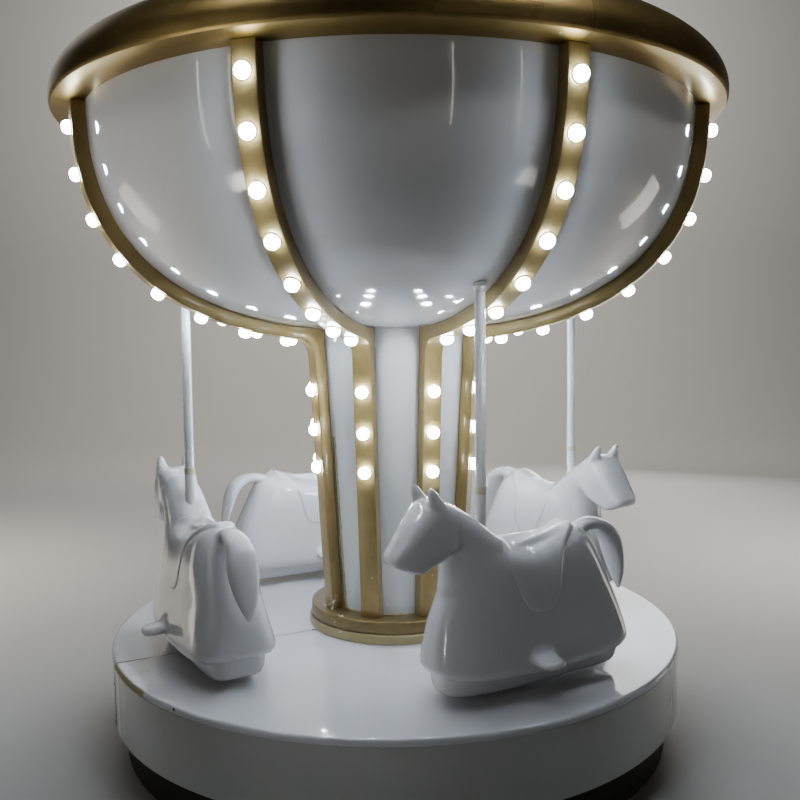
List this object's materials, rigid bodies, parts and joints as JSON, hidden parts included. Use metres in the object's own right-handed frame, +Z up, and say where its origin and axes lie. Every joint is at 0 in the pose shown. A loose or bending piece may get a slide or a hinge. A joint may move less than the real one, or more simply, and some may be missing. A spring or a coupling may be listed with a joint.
{
  "type": "carousel",
  "caption": "Children's fairground carousel: one turning deck, column and lamp-studded bowl canopy on a still plinth, with moulded horses fixed on poles.",
  "frame": {"origin": "on the floor, on the carousel's turning axis", "axes": "+Z up along the turning axis; -Y towards the side seen from the front; +X to that viewer's right"},
  "size_m": [2.6032, 2.6032, 2.668],
  "materials": {
    "gloss_white": "glossy white gelcoat on glass fibre",
    "gilt": "satin antique gold paint",
    "cream_gilt": "satin pale gold paint",
    "plinth_black": "matt black paint",
    "steel": "grey machine paint"
  },
  "bodies": {
    "ground": {"plinth": "plinth_black", "slewing_bearing": "steel"},
    "turntable": {"turntable_hub": "steel", "deck_front_half": "gloss_white", "deck_back_half": "gloss_white", "skirt_panel_1": "gloss_white", "skirt_panel_2": "gloss_white", "column_foot_lower": "cream_gilt", "column_foot_upper": "gilt", "column_shell": "gloss_white", "canopy_panel_1": "gloss_white", "canopy_rib_1": "gilt", "column_rib_1": "gilt", "canopy_panel_2": "gloss_white", "canopy_rib_2": "gilt", "column_rib_2": "gilt", "canopy_panel_3": "gloss_white", "canopy_rib_3": "gilt", "column_rib_3": "gilt", "canopy_panel_4": "gloss_white", "canopy_rib_4": "gilt", "column_rib_4": "gilt", "canopy_panel_5": "gloss_white", "canopy_rib_5": "gilt", "column_rib_5": "gilt", "canopy_panel_6": "gloss_white", "canopy_rib_6": "gilt", "column_rib_6": "gilt", "canopy_panel_7": "gloss_white", "canopy_rib_7": "gilt", "column_rib_7": "gilt", "canopy_panel_8": "gloss_white", "canopy_rib_8": "gilt", "column_rib_8": "gilt", "rim_piece_1": "gilt", "rim_piece_2": "gilt", "rim_piece_3": "gilt", "rim_piece_4": "gilt", "canopy_roof": "gloss_white", "horse_1_body": "gloss_white", "horse_1_tray": "gloss_white", "horse_1_pole": "gloss_white", "horse_2_body": "gloss_white", "horse_2_tray": "gloss_white", "horse_2_pole": "gloss_white", "horse_3_body": "gloss_white", "horse_3_tray": "gloss_white", "horse_3_pole": "gloss_white", "horse_4_body": "gloss_white", "horse_4_tray": "gloss_white", "horse_4_pole": "gloss_white"}
  },
  "joints": [
    {"name": "turntable_spin", "type": "hinge", "parent": "ground", "child": "turntable", "pos_m": [0, 0, 0.3], "axis": [0, 0, 1], "continuous": true}
  ]
}
